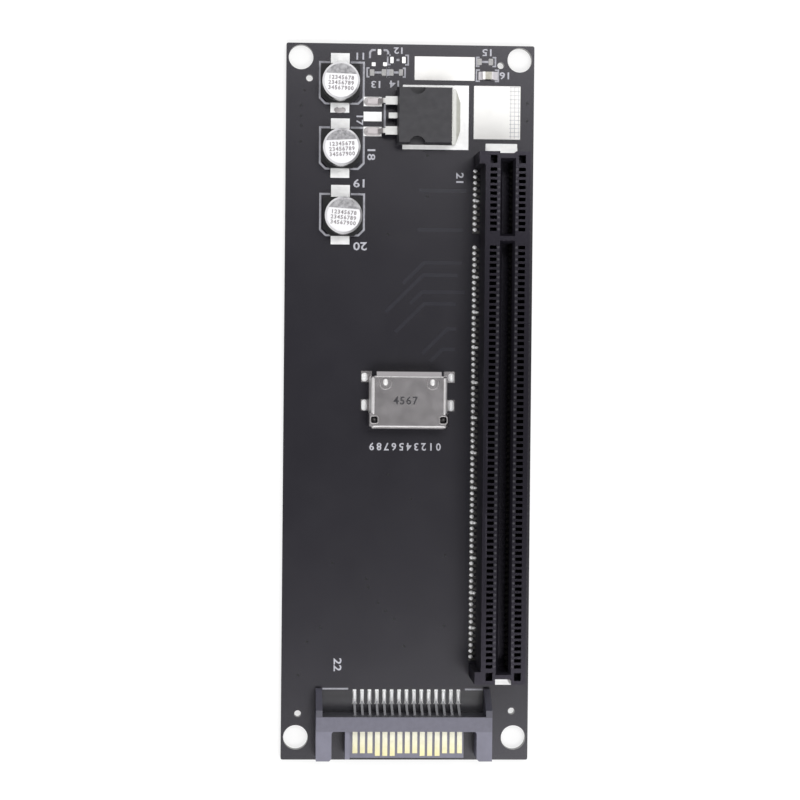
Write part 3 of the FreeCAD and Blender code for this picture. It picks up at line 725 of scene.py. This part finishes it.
# Bright and dull pads that carry no part: (x, y, width, height)
BRIGHT_PADS = [(-5.34, 59.68, 0.62, 0.95), (-6.31, 57.59, 0.66, 0.66), (-4.38, 57.62, 0.66, 0.66),
               (-3.2, 58.35, 0.58, 1.1), (-1.17, 58.38, 0.62, 1.1)]
DULL_PADS = [(-6.58, 56.18, 0.8, 1.1), (-4.54, 56.21, 0.8, 1.1), (-3.26, 56.23, 0.7, 1.1),
             (-1.64, 56.25, 0.7, 1.1), (11.75, 58.27, 0.8, 1.1), (13.7, 58.27, 0.8, 1.1)]
SLOT_END_PAD = (12.915, 18.34, 42.2, 44.37)
# The plug's pads and their lower ends, dull as painted shade under the plug's bar: lowest and highest y,
# half width, and depth below the lands
PLUG_PAD_Y = (-51.4, -49.0)
PLUG_PAD_HALF = 0.3
PLUG_PAD_SINK = 0.02
PLUG_END_Y = (PLUG_PAD_Y[0] - 0.16, PLUG_PAD_Y[0] + 0.1)
PLUG_END_HALF = 0.46
PLUG_END_SINK = 0.03


def bare_pads():
    """Pads without a part, the pad at the slot's end, and the plug's pads."""
    bm = bmesh.new()
    dull = bmesh.new()
    for pads, places in ((bm, BRIGHT_PADS), (dull, DULL_PADS)):
        for x, y, w, h in places:
            plate(pads, x - w / 2, x + w / 2, y - h / 2, y + h / 2, BOARD_TOP, LAND_TOP)
    add_piece("board_dull_pads", dull, MATERIALS["dull"])
    plate(bm, *SLOT_END_PAD, BOARD_TOP, LAND_TOP)
    ends = bmesh.new()
    for x in PLUG_PINS:
        plate(bm, x - PLUG_PAD_HALF, x + PLUG_PAD_HALF, *PLUG_PAD_Y,
              BOARD_TOP, LAND_TOP - PLUG_PAD_SINK)
        # Dull ends of the plug's pads, painted shade under the bar
        plate(ends, x - PLUG_END_HALF, x + PLUG_END_HALF, *PLUG_END_Y,
              BOARD_TOP, LAND_TOP - PLUG_END_SINK)
    add_piece("board_bare_pads", bm, MATERIALS["land"])
    add_piece("plug_pad_ends_painted_shade", ends, MATERIALS["dull"])


# Plate of mask between the plug's ears, paler than the board as a painted reflection: thickness of an
# ear, lowest and highest y, and corner
PLUG_EAR = 1.16
PLUG_PLACE_Y = (-52.95, -49.15)
PLUG_PLACE_CORNER = 0.1


def plug_place_painted_light():
    """Mask between the plug's ears with a painted reflection, strongest a little behind the bar."""
    bm = bmesh.new()
    low, high = node_box("power_plug_housing")
    plate(bm, low[0] + PLUG_EAR, high[0] - PLUG_EAR, *PLUG_PLACE_Y,
          BOARD_TOP - COPPER, BOARD_TOP + COPPER, PLUG_PLACE_CORNER, COPPER / 2)
    add_piece("painted_light_between_ears", bm, MATERIALS["plug_place_painted_light"])


# Recess of the hold-down at the slot's foot: half width, and depth from the end face
RECESS_HALF = 1.35
RECESS_DEPTH = 0.64
# Flange in it: thickness, distance from the board and from the slot's top, and corner
FLANGE_THICK = 0.1
FLANGE_FOOT = 0.3
FLANGE_HEAD = 0.5
FLANGE_CORNER = 0.03


def hold_down_flange():
    """Tinned side of the hold-down against the right wall of the recess in the slot's foot."""
    bm = bmesh.new()
    end_y = node_box("card_slot_housing")[0][1]
    right = SLOT_X + RECESS_HALF
    plate(bm, right - FLANGE_THICK, right, end_y, end_y + RECESS_DEPTH,
          BOARD_TOP + FLANGE_FOOT, SLOT_TOP - FLANGE_HEAD, FLANGE_CORNER)
    add_piece("card_slot_hold_down_flange", bm, MATERIALS["land"])


# Solder

# Drops on the slot's feet: distance from its middle, shift up the board, radius, scatter, and heights
SLOT_FOOT = 4.55
SLOT_FOOT_SHIFT = 0.345
SLOT_DROP = 0.39
SLOT_DROP_SCATTER = 0.03
SLOT_DROP_HEIGHTS = (0.3, 0.36)
# Tail on every sixth drop: steps towards the slot and down the board, half sizes, and height
TAIL_EVERY = 6
TAIL_STEPS = (0.45, 0.08)
TAIL_HALF = (0.42, 0.28)
TAIL_HEIGHT = 0.3
# Drops on the plug's pads: y, scatter, half widths, half length, and height
PLUG_DROP_Y = -50.15
PLUG_DROP_SCATTER = 0.04
PLUG_DROP_HALVES = (0.27, 0.33)
PLUG_DROP_LONG = 1.15
PLUG_DROP_HEIGHT = 0.42
# Beads on the port's feet: distance from the middle, y and half length of each, half width, and height
PORT_FOOT_X = 7.4
PORT_FEET_Y = (4.35, -0.4)
PORT_FEET_HALF = (0.82, 1.0)
PORT_FOOT_WIDE = 0.57
PORT_FOOT_HEIGHT = 0.5


def slot_drops(bm):
    """Solder on the slot's feet, slightly scattered."""
    for row in (SLOT_SHORT, SLOT_LONG):
        for i, y in enumerate(row):
            foot_y = y + SLOT_FOOT_SHIFT
            for side in (-1, 1):
                x = SLOT_X + side * (SLOT_FOOT + chance.uniform(-SLOT_DROP_SCATTER, SLOT_DROP_SCATTER))
                height = chance.uniform(*SLOT_DROP_HEIGHTS)
                dome(bm, x, foot_y, SLOT_DROP, SLOT_DROP, BOARD_TOP, height, power=2.0)
                if i % TAIL_EVERY == TAIL_EVERY - 1:
                    tail_x = x - side * TAIL_STEPS[0]
                    dome(bm, tail_x, foot_y - TAIL_STEPS[1], *TAIL_HALF, BOARD_TOP, TAIL_HEIGHT)


def plug_drops(bm):
    """Long drops of solder on the plug's pads."""
    for pin_x in PLUG_PINS:
        x = pin_x + chance.uniform(-PLUG_DROP_SCATTER, PLUG_DROP_SCATTER)
        half = chance.uniform(*PLUG_DROP_HALVES)
        dome(bm, x, PLUG_DROP_Y, half, PLUG_DROP_LONG, BOARD_TOP, PLUG_DROP_HEIGHT, power=2.4)


def port_drops(bm):
    """Beads of solder on the port's feet."""
    for side in (-1, 1):
        x = side * PORT_FOOT_X
        for y, half in zip(PORT_FEET_Y, PORT_FEET_HALF):
            ridge(bm, x - PORT_FOOT_WIDE, x + PORT_FOOT_WIDE, y - half, y + half,
                  BOARD_TOP, BOARD_TOP + PORT_FOOT_HEIGHT)


def solder_drops():
    """Bright solder on the slot's, the plug's and the port's feet."""
    bm = bmesh.new()
    slot_drops(bm)
    plug_drops(bm)
    port_drops(bm)
    add_piece("solder_drops", bm, MATERIALS["solder"], smooth=True)


# Smear below the first can, grey as a painted reflection of the dark can: distance below its land's
# middle, half sizes, and height
SMEAR_DOWN = 4.6
SMEAR_HALF = (1.0, 0.55)
SMEAR_HEIGHT = 0.12
# Solder round the regulator's leads: width of a lead, lowest and highest x, half width, and height
LEAD_WIDE = 1.4
WICK_X = (-7.92, -4.9)
WICK_HALF = 0.76
WICK_HEIGHT = 0.08


def lead_solder():
    """Thin grey solder below the first can, as a painted reflection of the can, and round the regulator's
    leads.
    """
    bm = bmesh.new()
    smear_y = CAN_LAND_MIDDLES[0][1] - SMEAR_DOWN
    dome(bm, CAN_MIDDLES[0][0], smear_y, *SMEAR_HALF, LAND_TOP, SMEAR_HEIGHT)
    low, high = node_box("regulator_leads")
    for y in (low[1] + LEAD_WIDE / 2, high[1] - LEAD_WIDE / 2):
        ridge(bm, *WICK_X, y - WICK_HALF, y + WICK_HALF, LAND_TOP, LAND_TOP + WICK_HEIGHT)
    add_piece("lead_solder", bm, MATERIALS["grey_solder"], smooth=True)


# Copper under the mask

# Traces: (x of the right end, y, x of the bend, length of the 45 degree run in x)
TRACES = [(9.0, 23.95, 2.6, 3.6), (8.4, 21.85, 2.5, 6.4), (9.6, 18.95, 2.3, 2.0), (8.2, 16.95, 2.7, 4.9),
          (8.2, 12.7, 6.7, 4.3), (8.1, 9.2, 5.9, 2.1), (9.8, 36.25, 1.8, 0.1), (9.2, 29.55, 1.5, 0.1)]
TRACE_WIDTH = 0.6
VIAS = [(-18.6, 50.4), (-18.6, 48.6), (-18.5, 47.0), (-18.6, 44.3), (-18.0, 53.0), (3.0, 42.2),
        (3.1, 35.2), (-3.6, 28.7), (-12.6, -27.4), (-6.8, -30.1), (-6.5, -31.5), (-4.7, -34.2),
        (-3.4, -35.6), (-2.0, -37.0), (-14.6, -38.5), (-16.8, -40.9), (-18.3, -46.6), (-0.2, -41.6),
        (0.7, -16.4), (6.7, -26.0), (6.6, -38.1), (-3.2, -12.3), (20.0, 51.3), (20.0, 48.3)]
VIA_RADIUS = 0.24


def buried_copper():
    """Traces that show through the mask, and vias through the board."""
    lines = bmesh.new()
    for right, y, bend, run in TRACES:
        path = [(right, y), (bend, y), (bend - run, y - run)]
        ribbon(lines, path, TRACE_WIDTH, BOARD_TOP - COPPER, BOARD_TOP + COPPER)
    add_piece("mask_traces", lines, MATERIALS["copper"])
    holes = bmesh.new()
    for x, y in VIAS:
        disc(holes, x, y, VIA_RADIUS, COPPER / 2, BOARD_TOP + COPPER)
    add_piece("vias", holes, MATERIALS["via"])


# Can tops

# Radius of the flat top, and how far each can is turned, in degrees
CAN_FLAT_RADIUS = 2.82
CAN_TURNS = (-2, 3, -4)
# Polarity mark: distance of its straight side from the middle, and steps of its round side
MARK_CHORD = 1.15
MARK_STEPS = 24
# Rows of numbers: count, first row above the middle, step, height, spread and stroke, then what they say
CAN_ROWS = 3
CAN_ROW_FIRST = 0.5
CAN_ROW_STEP = 0.87
CAN_DIGIT = 0.64
CAN_SPREAD = 1.2
CAN_STROKE = 0.045
CAN_FIRST_NUMBER = 12345678
CAN_NUMBER_STEP = 11111111


def can_tops():
    """Polarity segment and three rows of small numbers on each can."""
    marks = bmesh.new()
    digits = bmesh.new()
    start = math.asin(MARK_CHORD / CAN_FLAT_RADIUS)
    sweep = math.pi - 2 * start
    for (x, y), tilt in zip(CAN_MIDDLES, CAN_TURNS):
        turn = math.radians(tilt)
        angles = [turn + start + sweep * k / MARK_STEPS for k in range(MARK_STEPS + 1)]
        arc = [(x + CAN_FLAT_RADIUS * math.cos(a), y + CAN_FLAT_RADIUS * math.sin(a)) for a in angles]
        stack(marks, [(arc, CAN_TOP - PRINT), (arc, CAN_TOP + PRINT / 2)])
        for row in range(CAN_ROWS):
            up = CAN_ROW_FIRST - CAN_ROW_STEP * row
            text = "%d" % (CAN_FIRST_NUMBER + CAN_NUMBER_STEP * row)
            number(digits, text, x - up * math.sin(turn), y + up * math.cos(turn), CAN_DIGIT,
                   CAN_TOP - PRINT / 2, tilt, CAN_SPREAD, CAN_STROKE)
    add_piece("can_polarity_marks", marks, MATERIALS["can_mark"])
    add_piece("can_numbers", digits, MATERIALS["can_ink"])


# Port

# How far folds and creases stand above the sheet, and start below it
PRESS_RISE = 0.02
FOLD_SINK = 0.3
CREASE_SINK = 0.03
# Folds along the shell's edges in a brighter copy of the sheet, as painted highlights: lowest and highest
# x, lowest and highest y
SIDE_Y = (-2.15, 4.48)
PORT_FOLDS = [(-6.39, -5.6, *SIDE_Y), (5.6, 6.39, *SIDE_Y), (-6.35, 6.35, -4.29, -3.55),
              (-5.9, 5.9, 4.3, 4.64)]
# Bulge of the shell's sides, also a painted highlight: reach from the middle, width, and distance from
# the board and from the top
SIDE_REACH = 6.66
SIDE_WIDTH = 0.7
SIDE_FOOT = 0.6
SIDE_HEAD = 0.2


def port_fold_highlights():
    """Rounded folds and side bulges of the shell, in a brighter copy of its metal as painted highlights.
    """
    bm = bmesh.new()
    for sides in PORT_FOLDS:
        ridge(bm, *sides, PORT_TOP - FOLD_SINK, PORT_TOP + PRESS_RISE)
    for left in (-SIDE_REACH, SIDE_REACH - SIDE_WIDTH):
        ridge(bm, left, left + SIDE_WIDTH, *SIDE_Y, BOARD_TOP + SIDE_FOOT, PORT_TOP - SIDE_HEAD)
    add_piece("port_painted_fold_highlights", bm, MATERIALS["fold_highlight"], smooth=True)


# Caps over the beads pressed into the shell's top, paler than the sheet as painted highlights: distance
# from the middle, y, half sizes, and rise over the CAD bead
BEAD_X = 4.0
BEAD_Y = 3.55
BEAD_HALF = (0.44, 0.7)
BEAD_RISE = 0.12


def port_bead_highlights():
    """Caps on the two pressed beads, paler than the sheet as painted highlights."""
    bm = bmesh.new()
    for side in (-1, 1):
        dome(bm, side * BEAD_X, BEAD_Y, *BEAD_HALF, PORT_TOP, PORT_BEAD + BEAD_RISE, power=2.8)
    add_piece("port_bead_painted_highlights", bm, MATERIALS["bead"], smooth=True)


# Crease round each bead: y of its ends and of its bend, half sizes of the bend, its steps, and width
CREASE_END_Y = 4.0
CREASE_BEND_Y = 3.2
CREASE_HALF = (0.98, 0.85)
CREASE_STEPS = 16
CREASE_WIDTH = 0.2
# Windows: distance from the middle, y, half size, corner, and width of the rim
WINDOW_X = 5.85
WINDOW_Y = -2.8
WINDOW_HALF = 0.66
WINDOW_CORNER = 0.4
RIM_WIDTH = 0.22


def port_creases():
    """Creases round the beads, and rims of the windows, paler than the sheet as painted highlights."""
    bm = bmesh.new()
    low = PORT_TOP - CREASE_SINK
    high = PORT_TOP + PRESS_RISE
    half_x, half_y = CREASE_HALF
    angles = [math.pi + math.pi * k / CREASE_STEPS for k in range(CREASE_STEPS + 1)]
    for side in (-1, 1):
        x = side * BEAD_X
        arc = [(x + half_x * math.cos(a), CREASE_BEND_Y + half_y * math.sin(a)) for a in angles]
        path = [(x - half_x, CREASE_END_Y)] + arc + [(x + half_x, CREASE_END_Y)]
        ribbon(bm, path, CREASE_WIDTH, low, high)
        inner = side * WINDOW_X
        rim = rounded_rect(inner - WINDOW_HALF, inner + WINDOW_HALF, WINDOW_Y - WINDOW_HALF,
                           WINDOW_Y + WINDOW_HALF, WINDOW_CORNER)
        ribbon(bm, rim, RIM_WIDTH, low, high, closed=True)
    add_piece("port_creases", bm, MATERIALS["crease"], smooth=True)


# Latch tips in the windows: shift up the board, half sizes, depth below the sheet, and height
LATCH_SHIFT = 0.05
LATCH_HALF = (0.42, 0.4)
LATCH_DEPTH = 0.9
LATCH_HEIGHT = 0.5


def port_latches():
    """Dark latch tips inside the windows."""
    bm = bmesh.new()
    for side in (-1, 1):
        dome(bm, side * WINDOW_X, WINDOW_Y + LATCH_SHIFT, *LATCH_HALF,
             PORT_TOP - LATCH_DEPTH, LATCH_HEIGHT)
    add_piece("port_latch_tips", bm, MATERIALS["latch"], smooth=True)


# Digits stamped on the shell
STAMP = "4567"
STAMP_PLACE = (-0.6, 0.5)
STAMP_HEIGHT = 1.3
STAMP_SPREAD = 1.15


def port_stamp():
    """Plain stamped numbers on the shell's top."""
    bm = bmesh.new()
    number(bm, STAMP, *STAMP_PLACE, STAMP_HEIGHT, PORT_TOP - PRINT / 2, 0, STAMP_SPREAD)
    add_piece("port_stamped_numbers", bm, MATERIALS["stamp"])


print_lines()
print_numbers()
print_fields()
bare_pads()
plug_place_painted_light()
hold_down_flange()
solder_drops()
lead_solder()
buried_copper()
can_tops()
port_fold_highlights()
port_bead_highlights()
port_creases()
port_latches()
port_stamp()


# Floor, light and camera

WHITE = (1, 1, 1, 1)
FLOOR_GAP = 0.05
FLOOR_SIZE = 4000
FLOOR_GLOW = 0.7
FLOOR_SHADE = 0.35
FLOOR_PATCH = 60
FLOOR_VARY = 0.01
FLOOR_ROUGH = 0.9
FLOOR_SPECULAR = 0.1


def floor_material():
    """Pale floor that takes the object's shadow and reads as a white backdrop."""
    material, tree, shader, coords = base_material("floor_paper")
    paper = tint(tree, coords, (FLOOR_SHADE,) * 3, FLOOR_PATCH, FLOOR_VARY)
    tree.links.new(paper, shader.inputs["Base Color"])
    shader.inputs["Roughness"].default_value = FLOOR_ROUGH
    shader.inputs["Specular IOR Level"].default_value = FLOOR_SPECULAR
    rays = tree.nodes.new("ShaderNodeLightPath").outputs
    direct = work(tree, "MAXIMUM", rays["Is Camera Ray"], rays["Is Glossy Ray"])
    seen = work(tree, "MAXIMUM", direct, rays["Is Transmission Ray"])
    shader.inputs["Emission Color"].default_value = WHITE
    tree.links.new(scaled(tree, seen, (0, 1), (0, FLOOR_GLOW)), shader.inputs["Emission Strength"])
    return material


def floor():
    """Wide plane just below the board."""
    bpy.ops.mesh.primitive_plane_add(size=FLOOR_SIZE * MM, location=(0, 0, -FLOOR_GAP * MM))
    plane = bpy.context.object
    plane.name = "floor"
    plane.data.materials.append(floor_material())


# Glow of the studio's walls and ceiling, and the angles from straight up where the one becomes the other
WALL_GLOW = 0.85
CEILING_GLOW = 0.08
CEILING_ANGLES = (50, 25)


def world():
    """Studio with pale walls and a dark ceiling above the camera, white where the camera sees it."""
    studio = bpy.data.worlds.new("studio")
    bpy.context.scene.world = studio
    studio.use_nodes = True
    tree = studio.node_tree
    background = tree.nodes["Background"]
    background.inputs["Color"].default_value = WHITE
    direction = tree.nodes.new("ShaderNodeTexCoord").outputs["Generated"]
    heights = [math.cos(math.radians(angle)) for angle in CEILING_ANGLES]
    glow = scaled(tree, parts_of(tree, direction)["Z"], heights, (WALL_GLOW, CEILING_GLOW))
    rays = tree.nodes.new("ShaderNodeLightPath").outputs
    tree.links.new(work(tree, "MAXIMUM", glow, rays["Is Camera Ray"]), background.inputs["Strength"])


# Softboxes: (name, place, depth, power)
SOFTBOXES = [("back", (100, 260, 740), 200, 2.05), ("front", (100, -330, 740), 260, 2.8)]
SOFTBOX_WIDTH = 500


def softbox(name, place, depth, power):
    """Long soft light across the board, aimed at its middle."""
    lamp = bpy.data.lights.new(name, "AREA")
    lamp.shape = "RECTANGLE"
    lamp.size = SOFTBOX_WIDTH * MM
    lamp.size_y = depth * MM
    lamp.energy = power
    holder = bpy.data.objects.new(name, lamp)
    holder.location = Vector(place) * MM
    holder.rotation_euler = (-Vector(place)).to_track_quat("-Z", "Y").to_euler()
    bpy.context.scene.collection.objects.link(holder)


# Camera of the photograph: place, turns in degrees, and focal length in pixels of its 800 pixel frame
CAMERA_PLACE = (-26.841, 8.621, 446.618)
CAMERA_TURNS = (1.047, 3.285, -0.471)
FOCAL_PIXELS = 2612.5
FRAME_PIXELS = 800
SENSOR = 36.0
CLIP_NEAR = 10
CLIP_FAR = 20000


def camera():
    """Camera fitted to the photograph."""
    data = bpy.data.cameras.new("camera")
    data.sensor_fit = "HORIZONTAL"
    data.sensor_width = SENSOR
    data.lens = FOCAL_PIXELS / FRAME_PIXELS * SENSOR
    data.clip_start = CLIP_NEAR * MM
    data.clip_end = CLIP_FAR * MM
    holder = bpy.data.objects.new("camera", data)
    bpy.context.scene.collection.objects.link(holder)
    x, y, z = (math.radians(turn) for turn in CAMERA_TURNS)
    to_camera = Matrix.Rotation(z, 3, "Z") @ Matrix.Rotation(y, 3, "Y") @ Matrix.Rotation(x, 3, "X")
    holder.matrix_world = Matrix.Translation(Vector(CAMERA_PLACE) * MM) @ to_camera.transposed().to_4x4()
    bpy.context.scene.camera = holder


floor()
world()
for box in SOFTBOXES:
    softbox(*box)
camera()
bpy.context.scene.view_settings.view_transform = "Standard"
